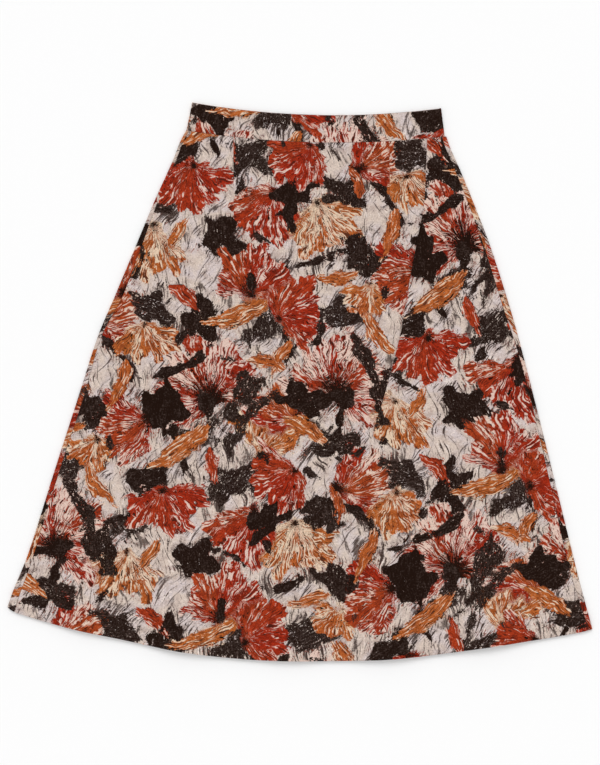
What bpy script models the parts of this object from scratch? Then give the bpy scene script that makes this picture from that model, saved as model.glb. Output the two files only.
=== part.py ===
"""A-line skirt of printed crepe, laid flat on its back, with its front up.

Frame: +X to the right as seen from above, +Y from the hem to the waist, +Z up out of the front.
The origin is under the middle of the skirt, on the surface it lies on. Metres.

Every piece is a closed wall of cloth. It is worked out as a grid of points on its upper face and a
matching grid on its lower face, with rows that run from the waist to the hem and columns that run
from one side to the other. The back pieces lie flat and roll up round both ends. The front pieces
lie on them, and the front panel carries the darts, the lapped fold and the soft flutes of the hem.
"""

import math
from collections import namedtuple

import bmesh
import bpy

# ---- driving dimensions -------------------------------------------------------------------------
LENGTH = 0.7636  # from the higher waist corner to the foot of the hem, before its waves lift it
WAIST_HALF = 0.170  # half the flat waist, at the band's top edge
BAND_DEPTH = 0.038
BAND_FOOT_HALF = 0.1765  # half the band's lower edge
BAND_SHIFT = -0.003  # the band's middle, which lies a little to the left
WAIST_DIP = 0.0130  # how far the middle of the top edge lies below its ends
SEAM_DIP = 0.0112  # the same for the band seam, over the same width
WAIST_TILT = 0.014  # the waist rises by this much per metre towards +X
HEM_RISE = 0.058  # how far the ends of the hem lie above its middle
HEM_CORNERS = {"left": 0.0038, "right": 0.0010}  # how far the hem's corners are rounded off upwards
HEM_CORNER_RUN = 0.014

CLOTH = 0.0014  # wall of one layer
HEM_CLOTH = 0.0019  # wall where the hem is turned up
HEM_TURN = 0.030
HEM_TURN_SLOPE = 0.010  # the doubled cloth thins out over this length
BAND_CLOTH = 0.0018  # doubled and stiffened
SEAM_GAP = 0.0003
BAND_SPACE = 0.0003  # between the front band and the back band
PANEL_SPACE = 0.0006  # between the panels at the side seams
PUFF = 0.0022  # how much further apart they are in the middle
PUFF_AT_WAIST = 0.30  # share of the puff at the band seam
PUFF_GROWS = 0.25  # share of the length over which it grows to the full puff
PUFF_SQUARE = 4  # power of the share of the width: the puff stays full and drops near the sides
FOLDS_FADE = 0.06  # share of the width over which folds die out beside a side seam

PANEL_ROWS = 27
BACK_COLUMNS = 12
BACK_BAND_COLUMNS = 14
FRONT_BAND_COLUMNS = 22
BAND_ROWS = 3
ARC_STEPS = 5
ROW_PASSES = 6  # passes that find where a line down the skirt crosses a row

WAIST_MIDDLE = LENGTH / 2 - WAIST_DIP - WAIST_TILT * WAIST_HALF  # the top edge, at x = 0
SEAM_MIDDLE = WAIST_MIDDLE - BAND_DEPTH
HEM_MIDDLE = -LENGTH / 2
PANEL_LENGTH = SEAM_MIDDLE - HEM_MIDDLE

# ---- tables -------------------------------------------------------------------------------------
SideRow = namedtuple("SideRow", "y left right")
SIDE_LINE = (  # how far the folded edges lie from the middle, from the band seam to the hem
    SideRow(0.340, 0.1800, 0.1755),
    SideRow(0.324, 0.1877, 0.1818),
    SideRow(0.299, 0.1963, 0.1942),
    SideRow(0.244, 0.2189, 0.2193),
    SideRow(0.189, 0.2395, 0.2425),
    SideRow(0.108, 0.2700, 0.2716),
    SideRow(0.054, 0.2905, 0.2888),
    SideRow(-0.028, 0.3138, 0.3130),
    SideRow(-0.136, 0.3444, 0.3441),
    SideRow(-0.245, 0.3747, 0.3751),
    SideRow(-0.298, 0.3939, 0.3913),
    SideRow(-0.3205, 0.4010, 0.3984),
)

RollRow = namedtuple("RollRow", "y left right")
SIDE_ROLL = (  # how far each side seam lies in from its folded edge
    RollRow(0.340, 0.0040, 0.0060),
    RollRow(0.245, 0.0045, 0.0075),
    RollRow(0.115, 0.0095, 0.0090),
    RollRow(0.060, 0.0045, 0.0060),
    RollRow(-0.020, 0.0065, 0.0050),
    RollRow(-0.130, 0.0060, 0.0070),
    RollRow(-0.230, 0.0065, 0.0090),
    RollRow(-0.3205, 0.0100, 0.0050),
)
BAND_ROLL = {"left": 0.0028, "right": 0.0036}

LineRow = namedtuple("LineRow", "y x")
LEFT_DART_LINE = (  # each of these lines guides the front's columns past its form, to the hem
    LineRow(0.335, -0.1150),
    LineRow(0.190, -0.1105),
    LineRow(0.060, -0.1150),
    LineRow(-0.383, -0.1600),
)
RIGHT_DART_LINE = (
    LineRow(0.335, 0.0980),
    LineRow(0.225, 0.1000),
    LineRow(0.100, 0.0820),
    LineRow(-0.100, 0.0400),
    LineRow(-0.383, 0.0250),
)
LAP_LINE = (
    LineRow(0.335, 0.1503),
    LineRow(0.250, 0.1490),
    LineRow(0.207, 0.1425),
    LineRow(0.132, 0.1310),
    LineRow(0.077, 0.1240),
    LineRow(-0.005, 0.1060),
    LineRow(-0.090, 0.0860),
    LineRow(-0.200, 0.0900),
    LineRow(-0.383, 0.1100),
)

FormRow = namedtuple("FormRow", "y x height left right")
FRONT_FORMS = {  # ridges and grooves: the line, the height and the width to each side of the line
    "left dart": (
        FormRow(0.345, -0.1154, -0.0009, 0.006, 0.006),
        FormRow(0.250, -0.1123, -0.0009, 0.006, 0.006),
        FormRow(0.190, -0.1105, 0.0000, 0.006, 0.006),
    ),
    "ease under the left dart": (
        FormRow(0.225, -0.1115, 0.0000, 0.014, 0.020),
        FormRow(0.170, -0.1100, 0.0026, 0.020, 0.026),
        FormRow(0.110, -0.1120, 0.0013, 0.028, 0.032),
        FormRow(0.050, -0.1160, 0.0000, 0.034, 0.036),
    ),
    "right dart": (
        FormRow(0.345, 0.0978, -0.0008, 0.006, 0.006),
        FormRow(0.270, 0.0992, -0.0008, 0.006, 0.006),
        FormRow(0.225, 0.1000, 0.0000, 0.006, 0.006),
    ),
    "lapped fold": (
        FormRow(0.345, 0.1500, 0.0010, 0.006, 0.024),
        FormRow(0.270, 0.1500, 0.0020, 0.006, 0.028),
        FormRow(0.207, 0.1425, 0.0026, 0.006, 0.032),
        FormRow(0.132, 0.1310, 0.0030, 0.006, 0.036),
        FormRow(-0.005, 0.1060, 0.0028, 0.006, 0.040),
        FormRow(-0.070, 0.0910, 0.0016, 0.008, 0.044),
        FormRow(-0.130, 0.0860, 0.0000, 0.014, 0.048),
    ),
    "far left flute": (
        FormRow(-0.060, -0.2350, 0.0000, 0.040, 0.040),
        FormRow(-0.220, -0.2700, 0.0018, 0.050, 0.050),
        FormRow(-0.383, -0.3000, 0.0036, 0.062, 0.060),
    ),
    "left flute": (
        FormRow(0.010, -0.1150, 0.0000, 0.040, 0.040),
        FormRow(-0.200, -0.1380, 0.0022, 0.052, 0.056),
        FormRow(-0.383, -0.1600, 0.0048, 0.066, 0.070),
    ),
    "middle flute": (
        FormRow(-0.080, -0.0080, 0.0000, 0.040, 0.040),
        FormRow(-0.240, -0.0120, 0.0016, 0.050, 0.050),
        FormRow(-0.383, -0.0160, 0.0034, 0.062, 0.062),
    ),
    "right flute": (
        FormRow(-0.040, 0.0940, 0.0000, 0.040, 0.044),
        FormRow(-0.220, 0.1080, 0.0020, 0.050, 0.056),
        FormRow(-0.383, 0.1240, 0.0042, 0.064, 0.066),
    ),
    "far right flute": (
        FormRow(0.040, 0.2050, 0.0000, 0.040, 0.040),
        FormRow(-0.180, 0.2420, 0.0026, 0.054, 0.056),
        FormRow(-0.383, 0.2660, 0.0058, 0.076, 0.074),
    ),
}

HemWave = namedtuple("HemWave", "x lift reach")
HEM_WAVES = (  # where the flutes draw the hem up
    HemWave(-0.245, 0.0018, 0.090),
    HemWave(0.064, 0.0034, 0.170),
    HemWave(0.255, 0.0062, 0.185),
)

# Columns set close together at the folded edges, the darts and the fold, as steps from each line.
EDGE_STEPS = (0.0, 0.006, 0.015)
LEFT_DART_STEPS = (-0.016, -0.006, 0.0, 0.006, 0.018)
RIGHT_DART_STEPS = (-0.006, 0.0, 0.006)
LAP_STEPS = (-0.006, -0.003, 0.0, 0.008, 0.020, 0.036)
LAP_ROOM = 0.048  # where there is less than this to the right edge, the steps towards it shrink
FRONT_FILLS = (6, 3, 3, 1, 6)  # even columns between one such group and the next, left to right

CLOTH_COLOUR = (0.246, 0.122, 0.091, 1.0)
BAND_COLOUR = (0.262, 0.131, 0.098, 1.0)
ROUGHNESS = 0.85
SHARP_ANGLE = math.radians(50)
SIGN = {"left": -1, "right": 1}


# ---- lines and heights --------------------------------------------------------------------------
def at_height(rows, y, column):
    """The value of one column at height y, on a smooth curve through the table's rows."""
    heights = [row.y for row in rows][::-1]
    values = [getattr(row, column) for row in rows][::-1]
    if y <= heights[0]:
        return values[0]
    if y >= heights[-1]:
        return values[-1]
    last = len(heights) - 1
    i = next(k for k in range(last) if y <= heights[k + 1])

    def slope(k):
        low, high = max(k - 1, 0), min(k + 1, last)
        return (values[high] - values[low]) / (heights[high] - heights[low])

    step = heights[i + 1] - heights[i]
    t = (y - heights[i]) / step
    start, end = slope(i) * step, slope(i + 1) * step
    change = values[i + 1] - values[i]
    bend = 3 * change - 2 * start - end
    turn = start + end - 2 * change
    return values[i] + t * start + t * t * bend + t * t * t * turn


def bell(t):
    """A smooth hump: 1 at t = 0, and 0 from |t| = 1 on."""
    return 0.5 + 0.5 * math.cos(math.pi * min(abs(t), 1.0))


def waist_line(x, share):
    """Height at x of a line along the waist: share 0 is the top edge and 1 the band seam."""
    dip = WAIST_DIP + (SEAM_DIP - WAIST_DIP) * share
    return WAIST_MIDDLE - BAND_DEPTH * share + dip * (x / WAIST_HALF) ** 2 + WAIST_TILT * x


def side_height(v):
    """Height of row v at the sides: v is 0 at the band seam and 1 at the hem."""
    return SIDE_LINE[0].y + (SIDE_LINE[-1].y - SIDE_LINE[0].y) * v


def edge(v, side):
    """How far the folded edge of a side lies from the middle on row v."""
    return at_height(SIDE_LINE, side_height(v), side)


def hem_line(x):
    """Height of the hem at x: a shallow bow with its waves and rounded corners."""
    side = "left" if x < 0 else "right"
    end = edge(1.0, side)
    corner = max(0.0, 1.0 - (end - abs(x)) / HEM_CORNER_RUN)
    waves = sum(wave.lift * bell((x - wave.x) / wave.reach) for wave in HEM_WAVES)
    return HEM_MIDDLE + HEM_RISE * (x / end) ** 2 + waves + HEM_CORNERS[side] * corner**2


def row_height(x, v):
    """Height of row v at x, between the band seam above it and the hem below it."""
    side = "left" if x < 0 else "right"
    share = x / edge(v, side)
    top = waist_line(share * edge(0.0, side), 1.0)
    return top + (hem_line(share * edge(1.0, side)) - top) * v


def on_row(line, v):
    """Where a line down the skirt crosses row v."""
    x = 0.0
    for _ in range(ROW_PASSES):
        x = at_height(line, row_height(x, v), "x")
    return x


def wall(v):
    """Thickness of the cloth at row v, which is more where the hem is turned up."""
    above_hem = (1.0 - v) * PANEL_LENGTH
    share = min(1.0, max(0.0, (HEM_TURN + HEM_TURN_SLOPE - above_hem) / HEM_TURN_SLOPE))
    return CLOTH + (HEM_CLOTH - CLOTH) * share


def front_form(x, y):
    """How far the ridges and grooves raise the front at a point."""
    rise = 0.0
    for rows in FRONT_FORMS.values():
        off = x - at_height(rows, y, "x")
        width = at_height(rows, y, "left" if off < 0 else "right")
        rise += at_height(rows, y, "height") * bell(off / width)
    return rise


def front_floor(x, y, v):
    """Height of the front panel's lower face."""
    share = min(1.0, abs(x) / edge(v, "left" if x < 0 else "right"))
    puff = PUFF * (1.0 - share**PUFF_SQUARE)
    puff *= PUFF_AT_WAIST + (1.0 - PUFF_AT_WAIST) * min(1.0, v / PUFF_GROWS)
    form = front_form(x, y) * (1.0 - bell((1.0 - share) / FOLDS_FADE))
    return wall(v) + max(SEAM_GAP, PANEL_SPACE + puff + form)


# ---- grids --------------------------------------------------------------------------------------
def between(start, end, count):
    """Evenly spaced values after start and before end."""
    return [start + (end - start) * k / (count + 1) for k in range(1, count + 1)]


def panel_stations():
    """The panels' rows, as shares of the way from the band seam to the hem."""
    turn = 1.0 - HEM_TURN / PANEL_LENGTH
    slope = turn - HEM_TURN_SLOPE / PANEL_LENGTH
    return [0.0, *between(0.0, slope, PANEL_ROWS), slope, turn, (turn + 1.0) / 2, 1.0]


def band_stations():
    """The bands' rows, as shares of the way from the top edge to the band seam."""
    foot = 1.0 - SEAM_GAP / BAND_DEPTH
    return [0.0, *between(0.0, foot, BAND_ROWS - 1), foot]


def front_columns(v):
    """Where the front panel's columns cross row v."""
    y = side_height(v)
    left, right = (
        SIGN[side] * (edge(v, side) - at_height(SIDE_ROLL, y, side) - SEAM_GAP / 2) for side in SIGN
    )
    left_edge = [left + step for step in EDGE_STEPS]
    left_dart = [on_row(LEFT_DART_LINE, v) + step for step in LEFT_DART_STEPS]
    right_dart = [on_row(RIGHT_DART_LINE, v) + step for step in RIGHT_DART_STEPS]
    right_edge = [right - step for step in EDGE_STEPS][::-1]
    fold = on_row(LAP_LINE, v)
    shrink = min(1.0, (right_edge[0] - fold) / LAP_ROOM)
    lap = [fold + (step * shrink if step > 0 else step) for step in LAP_STEPS]
    groups = [left_edge, left_dart, [0.0], right_dart, lap, right_edge]
    columns = list(groups[0])
    for group, fill in zip(groups[1:], FRONT_FILLS):
        columns += [*between(columns[-1], group[0], fill), *group]
    return columns


def rolled_section(edges, rolls, thickness, space, columns):
    """A flat strip that rolls up round both ends, as pairs of outer and inner (x, z) points.

    It runs from the lap on the left round the left end, along the surface and round the right end
    to the lap on the right. A roll is how far the lap reaches in from its end.
    """
    core = space / 2
    radius = thickness + core
    ends = []
    for side, sign in SIGN.items():
        centre = edges[side] - radius
        lap = edges[side] - max(rolls[side], radius + SEAM_GAP)
        pairs = [((sign * lap, radius + radius), (sign * lap, radius + core))]
        for k in range(ARC_STEPS + 1):
            angle = math.pi / 2 - math.pi * k / ARC_STEPS
            along, up = math.cos(angle), math.sin(angle)
            outer = (sign * (centre + along * radius), radius + up * radius)
            inner = (sign * (centre + along * core), radius + up * core)
            pairs.append((outer, inner))
        ends.append(pairs)
    left, right = ends
    start, stop = left[-1][0][0], right[-1][0][0]
    near_left = [start + step for step in EDGE_STEPS[1:]]
    near_right = [stop - step for step in EDGE_STEPS[:0:-1]]
    floor = [*near_left, *between(near_left[-1], near_right[0], columns), *near_right]
    return left + [((x, 0.0), (x, thickness)) for x in floor] + right[::-1]


# ---- pieces -------------------------------------------------------------------------------------
def closed_wall(name, upper, lower, material):
    """A closed solid between two grids of points, the first of them facing up."""
    mesh = bmesh.new()
    top, under = ([[mesh.verts.new(point) for point in row] for row in grid] for grid in (upper, lower))
    rows, columns = len(top), len(top[0])
    for j in range(rows - 1):
        for i in range(columns - 1):
            mesh.faces.new((top[j][i], top[j + 1][i], top[j + 1][i + 1], top[j][i + 1]))
            mesh.faces.new((under[j][i], under[j][i + 1], under[j + 1][i + 1], under[j + 1][i]))
        mesh.faces.new((top[j][0], under[j][0], under[j + 1][0], top[j + 1][0]))
        mesh.faces.new((top[j][-1], top[j + 1][-1], under[j + 1][-1], under[j][-1]))
    for i in range(columns - 1):
        mesh.faces.new((top[0][i], top[0][i + 1], under[0][i + 1], under[0][i]))
        mesh.faces.new((top[-1][i], under[-1][i], under[-1][i + 1], top[-1][i + 1]))
    bmesh.ops.triangulate(mesh, faces=mesh.faces[:])
    data = bpy.data.meshes.new(name)
    mesh.to_mesh(data)
    mesh.free()
    data.shade_smooth()
    data.set_sharp_from_angle(angle=SHARP_ANGLE)
    data.materials.append(material)
    piece = bpy.data.objects.new(name, data)
    bpy.context.scene.collection.objects.link(piece)


def make_front_panel(material):
    """The front panel, from one side seam to the other."""
    upper, lower = [], []
    for v in panel_stations():
        points = [(x, row_height(x, v)) for x in front_columns(v)]
        floors = [front_floor(x, y, v) for x, y in points]
        lower.append([(x, y, z) for (x, y), z in zip(points, floors)])
        upper.append([(x, y, z + wall(v)) for (x, y), z in zip(points, floors)])
    closed_wall("front_panel", upper, lower, material)


def make_back_panel(material):
    """The back panel, flat underneath, with a strip of it rolled to the front at each side."""
    outer, inner = [], []
    for v in panel_stations():
        edges = {side: edge(v, side) for side in SIGN}
        rolls = {side: at_height(SIDE_ROLL, side_height(v), side) - SEAM_GAP / 2 for side in SIGN}
        pairs = rolled_section(edges, rolls, wall(v), PANEL_SPACE, BACK_COLUMNS)
        outer.append([(x, row_height(x, v), z) for (x, z), _ in pairs])
        inner.append([(x, row_height(x, v), z) for _, (x, z) in pairs])
    closed_wall("back_panel", inner, outer, material)


def band_half(share):
    """Half the band's width, from its top edge, 0, to its seam, 1."""
    return WAIST_HALF + (BAND_FOOT_HALF - WAIST_HALF) * share


def make_waistband_back(material):
    """The back band, rolled a little round both ends."""
    outer, inner = [], []
    for share in band_stations():
        edges = {side: band_half(share) for side in SIGN}
        pairs = rolled_section(edges, BAND_ROLL, BAND_CLOTH, BAND_SPACE, BACK_BAND_COLUMNS)
        for grid, points in ((outer, [p for p, _ in pairs]), (inner, [p for _, p in pairs])):
            moved = [(x + BAND_SHIFT, z) for x, z in points]
            grid.append([(x, waist_line(x, share), z) for x, z in moved])
    closed_wall("waistband_back", inner, outer, material)


def make_waistband_front(material):
    """The front band, between the rolled ends of the back one."""
    upper, lower = [], []
    floor = BAND_CLOTH + BAND_SPACE
    for share in band_stations():
        left = BAND_SHIFT - band_half(share) + BAND_ROLL["left"] + SEAM_GAP
        right = BAND_SHIFT + band_half(share) - BAND_ROLL["right"] - SEAM_GAP
        columns = [left, *between(left, right, FRONT_BAND_COLUMNS), right]
        lower.append([(x, waist_line(x, share), floor) for x in columns])
        upper.append([(x, waist_line(x, share), floor + BAND_CLOTH) for x in columns])
    closed_wall("waistband_front", upper, lower, material)


def cloth_material(name, colour):
    """A matt cloth finish."""
    material = bpy.data.materials.new(name)
    material.use_nodes = True
    shader = material.node_tree.nodes["Principled BSDF"]
    shader.inputs["Base Color"].default_value = colour
    shader.inputs["Roughness"].default_value = ROUGHNESS
    shader.inputs["Metallic"].default_value = 0.0
    return material


def main():
    for old in list(bpy.data.objects):
        bpy.data.objects.remove(old, do_unlink=True)
    skirt_cloth = cloth_material("skirt_cloth", CLOTH_COLOUR)
    band_cloth = cloth_material("waistband_cloth", BAND_COLOUR)
    make_back_panel(skirt_cloth)
    make_front_panel(skirt_cloth)
    make_waistband_back(band_cloth)
    make_waistband_front(band_cloth)


main()
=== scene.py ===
"""Looks of the a-line skirt: printed crepe, darts, lapped fold and seams, laid flat on a pale floor.

Every piece is a thin closed shell on the form of its solid, worked out as sections across the skirt
from the waist to the hem. A section is a path in x and z of the cloth's right side, and the length
along it places the print on the flat cloth.
"""

import math
from collections import namedtuple

import bpy
import numpy as np
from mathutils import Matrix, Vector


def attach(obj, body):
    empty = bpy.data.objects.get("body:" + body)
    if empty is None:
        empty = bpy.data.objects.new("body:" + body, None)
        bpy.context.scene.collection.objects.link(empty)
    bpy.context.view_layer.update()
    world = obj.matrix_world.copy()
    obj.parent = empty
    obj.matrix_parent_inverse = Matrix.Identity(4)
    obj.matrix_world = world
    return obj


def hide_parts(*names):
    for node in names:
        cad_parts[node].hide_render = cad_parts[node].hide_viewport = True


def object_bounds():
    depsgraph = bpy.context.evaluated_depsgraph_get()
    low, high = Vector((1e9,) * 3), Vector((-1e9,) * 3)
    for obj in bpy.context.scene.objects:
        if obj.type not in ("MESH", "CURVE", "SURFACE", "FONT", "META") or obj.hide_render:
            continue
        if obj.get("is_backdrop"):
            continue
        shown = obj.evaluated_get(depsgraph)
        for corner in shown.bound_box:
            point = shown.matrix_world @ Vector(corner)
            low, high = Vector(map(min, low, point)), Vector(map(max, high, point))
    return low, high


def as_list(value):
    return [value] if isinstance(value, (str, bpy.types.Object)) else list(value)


bl_info = {
    "name": "A-line skirt looks",
    "version": (1, 0, 0),
    "blender": (4, 5, 0),
    "location": "3D View > Sidebar > Skirt",
    "description": "Makes the printed cloth shells of an a-line skirt and the stage it lies on",
    "category": "Object",
}

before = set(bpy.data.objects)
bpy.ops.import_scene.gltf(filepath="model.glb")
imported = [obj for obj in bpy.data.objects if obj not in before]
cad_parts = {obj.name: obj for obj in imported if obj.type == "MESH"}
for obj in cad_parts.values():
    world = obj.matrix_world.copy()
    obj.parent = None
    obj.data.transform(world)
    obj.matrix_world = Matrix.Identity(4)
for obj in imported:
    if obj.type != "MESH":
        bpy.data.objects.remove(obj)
CAD_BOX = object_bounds()
SIGN = {"left": -1, "right": 1}
MM = 0.001


def table(columns, *rows):
    """Rows with named columns. Those before the bar, or all without one, are in millimetres."""
    lengths = len(columns.partition("|")[0].split())
    kind = namedtuple("Row", columns.replace("|", " "))
    return tuple(kind(*(n * MM if k < lengths else n for k, n in enumerate(row))) for row in rows)


# ---- cut and lie of the skirt, as in the solids ----
LENGTH = 0.7636
WAIST_HALF = 0.17
BAND_DEPTH = 0.038
BAND_FOOT_HALF = 0.1765
BAND_SHIFT = -0.003
WAIST_DIP = 0.013
SEAM_DIP = 0.0112
WAIST_TILT = 0.014
HEM_RISE = 0.058
HEM_CORNERS = (0.0038, 0.001)  # how far the left and the right corner are rounded up
HEM_CORNER_RUN = 0.014
WALL = 0.0014
HEM_WALL = 0.0019
HEM_TURN = 0.03
WALL_EASE = (-0.016, 0.012)  # where the wall thickens, from the top of the hem's turning
BAND_WALL = 0.0018
SEAM_GAP = 0.0003
BAND_SPACE = 0.0003
PANEL_SPACE = 0.0006
PUFF = 0.0022
PUFF_AT_WAIST = 0.3
PUFF_GROWS = 0.25
PUFF_SQUARE = 4
FOLDS_FADE = 0.06

WAIST_MIDDLE = LENGTH / 2 - WAIST_DIP - WAIST_TILT * WAIST_HALF
SEAM_MIDDLE = WAIST_MIDDLE - BAND_DEPTH
HEM_MIDDLE = -LENGTH / 2
PANEL_LENGTH = SEAM_MIDDLE - HEM_MIDDLE

SIDES = "y left right"
SIDE_LINE = table(  # how far the folded edges lie from the middle
    SIDES,
    (340, 180, 175.5), (324, 187.7, 181.8),
    (299, 196.3, 194.2), (244, 218.9, 219.3),
    (189, 239.5, 242.5), (108, 270, 271.6),
    (54, 290.5, 288.8), (-28, 313.8, 313),
    (-136, 344.4, 344.1), (-245, 374.7, 375.1),
    (-298, 393.9, 391.3), (-320.5, 401, 398.4),
)
SIDE_ROLL = table(  # how far each side seam lies in from its folded edge
    SIDES,
    (340, 4, 6), (245, 4.5, 7.5),
    (115, 9.5, 9), (60, 4.5, 6),
    (-20, 6.5, 5), (-130, 6, 7),
    (-230, 6.5, 9), (-320.5, 10, 5),
)
BAND_RADIUS = BAND_WALL + BAND_SPACE / 2
BAND_SEAMS = {  # from the top of the band's rolled ends to their seams, in degrees, at waist and foot
    "left": (84, 90),
    "right": (4, 88),
}

LINE = "y x"
DART_LINES = {
    "left": table(LINE, (335, -115), (190, -110.5), (60, -115), (-383, -170)),
    "right": table(LINE, (335, 98), (225, 100), (100, 78), (-100, 38), (-383, 25)),
}
MIDDLE_LINE = table(LINE, (335, 0), (0, 0), (-383, -30))
LAP_LINE = table(
    LINE,
    (335, 150.3), (250, 149),
    (207, 142.5), (132, 131),
    (77, 124), (-5, 106),
    (-90, 86), (-200, 90),
    (-383, 120),
)

FORM = "y x height left right"  # a ridge: its line, its height and its width to each side
LAP_FORM = table(
    FORM,
    (345, 150, 1.6, 6, 24), (270, 150, 2, 6, 28),
    (207, 142.5, 2.6, 6, 32), (132, 131, 3, 6, 36),
    (-5, 106, 2.8, 6, 40), (-70, 91, 1.6, 8, 44),
    (-130, 86, 0, 14, 48),
)
FRONT_FORMS = (
    table(  # ease under the left dart
        FORM,
        (225, -111.5, 0, 14, 20), (170, -110, 2.6, 20, 26),
        (110, -112, 1.3, 28, 32), (50, -116, 0, 34, 36),
    ),
    # the hem's flutes, from left to right
    table(FORM, (-60, -235, 0, 40, 40), (-220, -270, 1.8, 50, 50), (-383, -300, 3.6, 62, 60)),
    table(FORM, (10, -115, 0, 40, 40), (-200, -138, 2.2, 52, 56), (-383, -160, 4.8, 66, 70)),
    table(FORM, (-80, -8, 0, 40, 40), (-240, -12, 1.6, 50, 50), (-383, -16, 3.4, 62, 62)),
    table(FORM, (-40, 94, 0, 40, 44), (-220, 108, 2, 50, 56), (-383, 124, 4.2, 64, 66)),
    table(FORM, (40, 205, 0, 40, 40), (-180, 242, 2.6, 54, 56), (-383, 266, 5.8, 76, 74)),
)
HEM_WAVES = table("x lift reach", (-245, 1.8, 90), (64, 3.4, 170), (255, 6.2, 185))

# ---- finer form, only in the shells ----
DART = "y intake depth"  # the cloth that a dart takes in, and how deep its seam lies
DARTS = {
    "left": table(DART, (345, 18, 1.1), (280, 10.5, 1), (215, 3, 0.6), (190, 0, 0)),
    "right": table(DART, (345, 14, 0.9), (285, 8, 0.8), (240, 2, 0.4), (225, 0, 0)),
}
LAP_DEPTH = table(  # how far the cloth doubles under the lapped fold, and how closed the fold is
    "y depth | closed",
    (345, 8, 1), (207, 10, 1),
    (40, 10, 1), (-20, 8.5, 1),
    (-65, 4.5, 1), (-95, 1.2, 0.6),
    (-120, 0, 0),
)
FOLD_EDGE = [math.pi * k / 7 for k in range(1, 7)]
# The cloth runs on under the fold, turns back and turns again at the fold's edge: side is how far a
# column lies off that edge, reach how far under it, as a share of its depth, and rise how far up.
FOLD_PATH = table(
    "side | reach rise",
    (-4.5, 0, 0), (-2, 0, 0), (-0.4, 0, 0),
    (0, 0.45, 0), (0, 0.85, 0.01), (0, 1, 0.06), (0, 0.85, 0.11), (0, 0.45, 0.12), (0, 0.1, 0.13),
    *((-0.9 * math.sin(angle), 0, 0.13 + 0.87 * (1 - math.cos(angle)) / 2) for angle in FOLD_EDGE),
    (1, 0, 1), (3, 0, 1),
)
FOLD_OPEN = (-0.0075, 0.003)  # where the same columns lie where the fold has opened
CREASES = table(  # small soft ridges and troughs left by wear
    "x0 y0 x1 y1 height width",
    (-150, 318, -172, 235, 0.7, 10), (-135, 322, -150, 262, -0.5, 8),
    (-60, 322, -48, 210, 0.6, 13), (-20, 318, -6, 236, -0.5, 10),
    (48, 322, 40, 226, 0.6, 12), (126, 318, 120, 246, -0.5, 8),
    (-205, 196, -150, 110, 0.8, 15), (-60, 120, -85, -30, 0.8, 18),
    (20, 90, 12, -70, -0.6, 18), (190, 135, 236, -30, 1, 17),
    (160, 60, 172, -120, -0.9, 16), (-250, 20, -275, -160, 0.8, 18),
    (-195, -60, -212, -240, -1, 21), (-70, -140, -82, -330, -1, 23),
    (45, -160, 52, -345, -1, 22), (190, -150, 198, -325, -1.2, 24),
    (300, -80, 326, -220, 0.9, 17), (-330, -190, -352, -290, 0.8, 15),
    (60, -20, 20, -120, 0.6, 15), (-150, 40, -120, -80, 0.6, 16),
)
CREASE_BOW = 0.05  # of a crease's length
RIPPLE = 0.00022

CLOTH = 0.0007  # the shell of one layer
HEM_CLOTH = 0.0014  # the shell where the hem is turned up
CLOTH_EASE = (-0.001, 0.001)
BAND_CLOTH = 0.0012
BAND_RIPPLE = 0.00012
BAND_TOP_ROLL = 0.0003
SIDE_GAP = 0.00006  # between the shells at a side seam
BAND_GAP = 0.0001  # the same at the band seam
SEAM_DROP = {"side": 0.0002, "band": 0.0003}  # how far the cloth rolls down into a seam
SEAM_DROP_RUN = 0.0018
ALLOWANCE = 0.013  # inside, which lifts the cloth
ALLOWANCE_LIFT = 0.00022
PUCKER = 0.00016
PUCKER_RUN = 0.012
DART_GROOVE_RUN = 0.003
DART_PRESSED = 0.35  # the rise of the cloth pressed to one side, as a share of the seam's depth
DART_PRESSED_OFF = 0.005
DART_PRESSED_RUN = 0.009
EDGE_FLOOR = 0.25  # how thin a rounded edge gets, as a share of the cloth

PANEL_ROWS = 196
TURN_ROWS = (-0.0012, 0, 0.0012)  # the rows at the top of the hem's turning
TURN_ROOM = 0.0024
EDGE_OFFSETS = (0, 0.0001, 0.0004, 0.0009, 0.0018, 0.0034)
DART_OFFSETS = (-0.005, -0.0026, -0.0012, -0.0005, -0.0001, 0.0001, 0.0005, 0.0012, 0.0026, 0.005)
DART_RELAX = 5  # how far the columns of a dart spread below its point
DART_RELAX_RUN = 0.08
FRONT_FILLS = {"left dart": 50, "middle": 32, "right dart": 30, "lapped fold": 12, "right edge": 52}
RIGHT_EDGE_ROOM = 0.02  # with less room beside the fold, the right edge's columns close up
BACK_FILL = 38
SIDE_LAP_SHARES = (0, 0.04, 0.12, 0.3, 0.6)
SIDE_ARC = np.linspace(0, math.pi, 13)
BAND_END_RUNS = (0, 0.0001, 0.0004, *(0.0009 + 0.0005 * k for k in range(12)))
BAND_ROWS = 12
BAND_BACK_FILL = 48
BAND_FRONT_FILL = 110
LAPPED = 1.9  # the back panel's cloth lies on the front where it is higher than this many walls
BAND_FRONT_SET = 0.0007  # how far the front band's top edge lies below the back one's


# ---- curves ----
def read_curve(rows, y, column):
    """The values of a column at heights y, on a smooth curve through the rows."""
    heights = np.array([row.y for row in rows])[::-1]
    values = np.array([getattr(row, column) for row in rows])[::-1]
    slopes = np.empty_like(values)
    slopes[1:-1] = (values[2:] - values[:-2]) / (heights[2:] - heights[:-2])
    slopes[[0, -1]] = (np.diff(values) / np.diff(heights))[[0, -1]]
    y = np.clip(y, heights[0], heights[-1])
    i = np.clip(np.searchsorted(heights, y) - 1, 0, len(heights) - 2)
    step = heights[i + 1] - heights[i]
    t = (y - heights[i]) / step
    start, end = slopes[i] * step, slopes[i + 1] * step
    change = values[i + 1] - values[i]
    return values[i] + t * start + t**2 * (3 * change - 2 * start - end) + t**3 * (start + end - 2 * change)


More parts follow.
